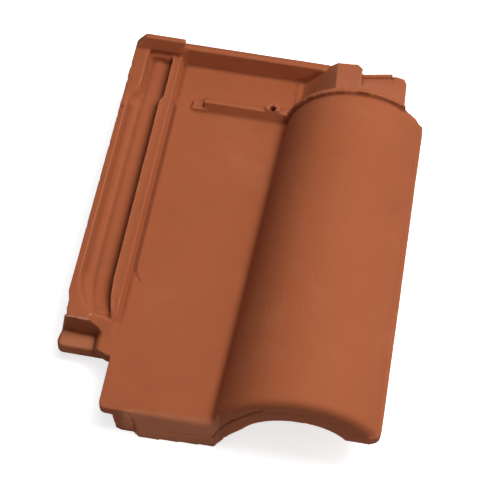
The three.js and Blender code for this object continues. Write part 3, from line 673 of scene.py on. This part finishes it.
def clay_group():
    """Fired clay: its colour, slight clouds of tone, fine grain, painted shade in creases,
    hollows and on sides facing away from the lamps, painted light on edges, the tail and the
    lug, and the relief of the mould.
    """
    group = bpy.data.node_groups.new("fired_clay", "ShaderNodeTree")
    face = group.interface
    for name in CLAY_COLOURS:
        face.new_socket(name=name, in_out="INPUT", socket_type="NodeSocketColor")
    for name, kind in (
        ("Color", "NodeSocketColor"),
        ("Roughness", "NodeSocketFloat"),
        ("Height", "NodeSocketFloat"),
    ):
        face.new_socket(name=name, in_out="OUTPUT", socket_type=kind)
    entry = group.nodes.new("NodeGroupInput")
    leave = group.nodes.new("NodeGroupOutput")
    where = group.nodes.new("ShaderNodeTexCoord").outputs["Object"]
    edge, hollow_painted_shade, rubbed_and_highlight, tail_lug_painted_light, steep = (
        add_node(group, "ShaderNodeAttribute", attribute_name=name).outputs["Fac"]
        for name in ("edge", "hollow", "rubbed_and_highlight", "tail_lug_painted_light", "steep")
    )

    broad = cloud(group, where, *BROAD_CLOUDS)
    patchy = cloud(group, where, *PATCHY_CLOUDS)
    grain = cloud(group, where, *GRAIN)
    tone = math_node(
        group, "ADD",
        math_node(group, "MULTIPLY", broad, TONE_SHARES[0]),
        math_node(group, "MULTIPLY", patchy, TONE_SHARES[1]),
    )
    corner = remap(group, edge, *CREASE_PAINTED_SHADE)
    hollow = remap(group, hollow_painted_shade, *HOLLOW_PAINTED_SHADE)
    body = entry.outputs["Clay"]
    for share, over in (
        (remap(group, tone, *PALE_TONE), "Pale"),
        (remap(group, tone, *BURNT_TONE), "BurntAndShade"),
        # painted shade on steep sides facing away from the lamps
        (math_node(group, "MULTIPLY", steep, STEEP_PAINTED_SHADE), "BurntAndShade"),
        # painted light on the tail's faces and the lug's top
        (math_node(group, "MULTIPLY", tail_lug_painted_light, TAIL_LUG_PAINTED_LIGHT), "Pale"),
        # wear and painted highlight along edges
        (remap(group, edge, *EDGE_WEAR_AND_HIGHLIGHT), "Pale"),
        # painted shade in creases and hollows
        (math_node(group, "MAXIMUM", corner, hollow), "BurntAndShade"),
        (remap(group, grain, *FLECKS), "Pale"),
        # paler lines and flecks: partly wear, partly painted highlight
        (rubbed_and_highlight, "RubbedAndHighlight"),
    ):
        body = mix_colours(group, share, body, entry.outputs[over])

    fine = math_node(group, "MULTIPLY", grain, RELIEF_SHARES[0])
    coarse = math_node(group, "MULTIPLY", patchy, RELIEF_SHARES[1])
    height = math_node(group, "ADD", fine, coarse)
    group.links.new(body, leave.inputs["Color"])
    group.links.new(remap(group, patchy, *ROUGHNESS), leave.inputs["Roughness"])
    group.links.new(height, leave.inputs["Height"])
    return group


def terracotta():
    material = bpy.data.materials.new("terracotta")
    material.use_nodes = True
    tree = material.node_tree
    shader = tree.nodes["Principled BSDF"]
    shader.inputs["Specular IOR Level"].default_value = CLAY_SHINE
    clay = tree.nodes.new("ShaderNodeGroup")
    clay.node_tree = clay_group()
    for name, levels in CLAY_COLOURS.items():
        clay.inputs[name].default_value = colour(*levels)
    bump = add_node(tree, "ShaderNodeBump", RELIEF)
    tree.links.new(clay.outputs["Height"], bump.inputs["Height"])
    tree.links.new(clay.outputs["Color"], shader.inputs["Base Color"])
    tree.links.new(clay.outputs["Roughness"], shader.inputs["Roughness"])
    tree.links.new(bump.outputs["Normal"], shader.inputs["Normal"])
    return material


def floor_paint():
    """Pale floor that shows white where nothing shades it."""
    material = bpy.data.materials.new("pale_floor")
    material.use_nodes = True
    tree = material.node_tree
    shader = tree.nodes["Principled BSDF"]
    shader.inputs["Base Color"].default_value = FLOOR_PALE
    shader.inputs["Roughness"].default_value = FLOOR_ROUGHNESS
    shader.inputs["Specular IOR Level"].default_value = FLOOR_SHINE
    shader.inputs["Emission Color"].default_value = WHITE
    seen = tree.nodes.new("ShaderNodeLightPath").outputs["Is Camera Ray"]
    glow = math_node(tree, "MULTIPLY", seen, FLOOR_GLOW)
    tree.links.new(glow, shader.inputs["Emission Strength"])
    return material


# ---------- stage ----------
def make_floor():
    mesh = bpy.data.meshes.new("floor")
    half = FLOOR_HALF
    corners = [(-half, -half, 0), (half, -half, 0), (half, half, 0), (-half, half, 0)]
    mesh.from_pydata(corners, [], [(0, 1, 2, 3)])
    floor = bpy.data.objects.new("floor", mesh)
    bpy.context.scene.collection.objects.link(floor)
    mesh.materials.append(floor_paint())


def make_lamp(name, turn, height, watts):
    light = bpy.data.lights.new(name, "AREA")
    light.shape = "DISK"
    light.size = LAMP_SIZE
    light.energy = watts
    lamp = bpy.data.objects.new(name, light)
    tilt = Euler((0, -math.radians(height), math.radians(turn)))
    place = Vector((LAMP_REACH, 0, 0))
    place.rotate(tilt)
    lamp.location = place
    lamp.rotation_euler = (-place).to_track_quat("-Z", "Y").to_euler()
    bpy.context.scene.collection.objects.link(lamp)


def make_sky():
    world = bpy.data.worlds.new("studio")
    world.use_nodes = True
    tree = world.node_tree
    background = tree.nodes["Background"]
    background.inputs["Color"].default_value = WHITE
    path = tree.nodes.new("ShaderNodeLightPath")
    rays = path.outputs
    seen = math_node(tree, "MAXIMUM", rays["Is Camera Ray"], rays["Is Glossy Ray"])
    strength = remap(tree, seen, 0.0, 1.0, SKY, 1.0)
    tree.links.new(strength, background.inputs["Strength"])
    bpy.context.scene.world = world


def make_camera():
    data = bpy.data.cameras.new("camera")
    data.sensor_width = CAMERA_SENSOR
    data.lens = CAMERA_LENS
    data.clip_end = CAMERA_REACH
    camera = bpy.data.objects.new("camera", data)
    camera.location = CAMERA_PLACE
    camera.rotation_euler = Euler([math.radians(angle) for angle in CAMERA_TURN])
    bpy.context.scene.collection.objects.link(camera)
    bpy.context.scene.camera = camera


# ---------- build ----------
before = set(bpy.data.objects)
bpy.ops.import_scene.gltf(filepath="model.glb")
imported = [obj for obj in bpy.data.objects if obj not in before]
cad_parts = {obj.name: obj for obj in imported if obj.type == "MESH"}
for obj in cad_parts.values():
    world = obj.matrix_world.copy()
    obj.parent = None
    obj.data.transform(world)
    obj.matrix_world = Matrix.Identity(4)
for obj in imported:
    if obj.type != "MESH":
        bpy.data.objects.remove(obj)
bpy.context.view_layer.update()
bpy.context.scene.view_settings.view_transform = "Standard"

low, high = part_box(NODE)
tile = make_tile(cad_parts[NODE], low, high)
tile.data.materials.clear()
tile.data.materials.append(terracotta())
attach(tile, "root")
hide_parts(NODE)

make_floor()
for lamp in LAMPS:
    make_lamp(*lamp)
make_sky()
make_camera()
